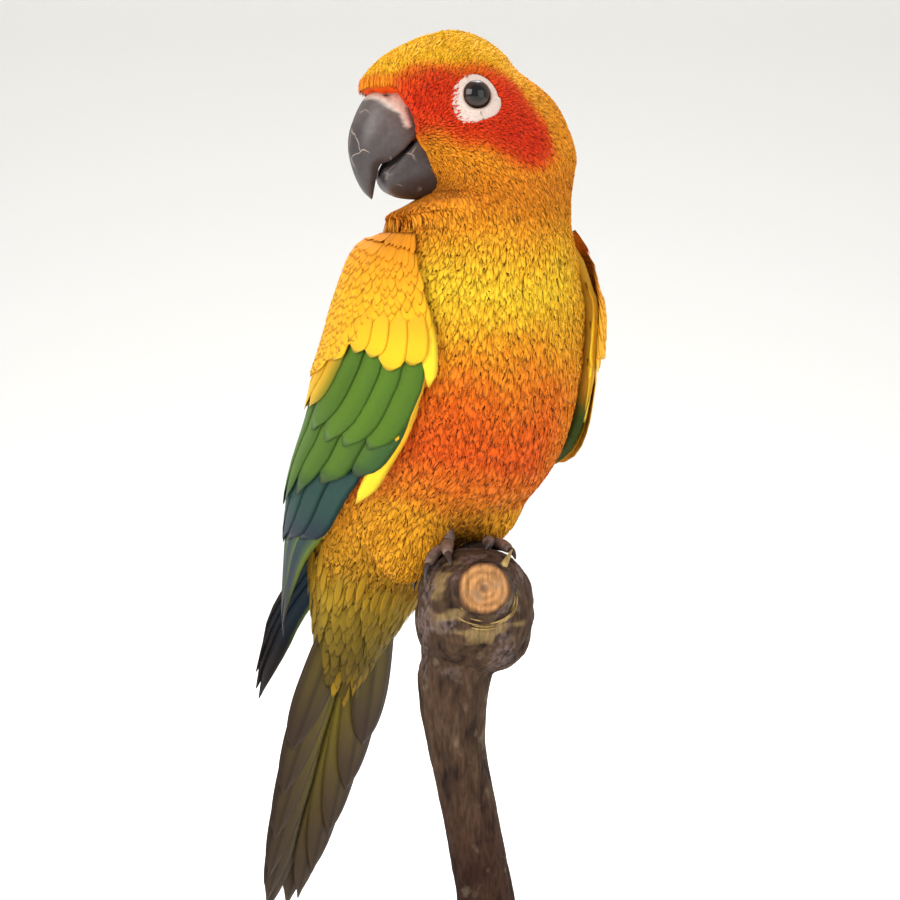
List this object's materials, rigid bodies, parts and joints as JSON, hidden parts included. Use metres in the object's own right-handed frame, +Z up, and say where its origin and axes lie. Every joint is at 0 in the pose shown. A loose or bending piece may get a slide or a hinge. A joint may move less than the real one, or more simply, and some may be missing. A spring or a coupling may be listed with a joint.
{
  "type": "sun conure model",
  "caption": "Life-size sun conure looking back over its shoulder, gripping a cut perch held by a flat round base and a short rod.",
  "frame": {"origin": "centre of the round base's underside, on the surface the model stands on", "axes": "+Z up; -Y towards the viewer of the picture, who looks along +Y; +X to the viewer's right"},
  "size_m": [0.128, 0.1358, 0.2603],
  "materials": {
    "head_feathers": "soft orange feathers",
    "body_feathers": "soft yellow and orange feathers",
    "covert_feathers": "yellow and green feathers",
    "flight_feathers": "green and blue-black flight feathers",
    "tail_feathers": "olive tail feathers with dark edges",
    "bill_horn": "dark grey worn horn",
    "eye": "wet dark eye",
    "foot_skin": "scaly grey-pink skin",
    "claw_horn": "dark horn",
    "bark": "rough dark bark with lichen",
    "stand_wood": "dark satin wood",
    "stand_steel": "brushed"
  },
  "bodies": {
    "root": {"belly": "body_feathers", "bill_lower": "bill_horn", "bill_upper": "bill_horn", "claw_left_1": "claw_horn", "claw_left_2": "claw_horn", "claw_left_3": "claw_horn", "claw_left_4": "claw_horn", "claw_right_1": "claw_horn", "claw_right_2": "claw_horn", "claw_right_3": "claw_horn", "claw_right_4": "claw_horn", "eye_left": "eye", "eye_right": "eye", "foot_left": "foot_skin", "foot_right": "foot_skin", "head": "head_feathers", "neck": "body_feathers", "perch": "bark", "rump": "body_feathers", "stand_base": "stand_wood", "stand_rod": "stand_steel", "tail": "tail_feathers", "thigh_left": "body_feathers", "thigh_right": "body_feathers", "torso": "body_feathers", "wing_left_coverts": "covert_feathers", "wing_left_flight": "flight_feathers", "wing_right_coverts": "covert_feathers", "wing_right_flight": "flight_feathers"}
  },
  "joints": []
}
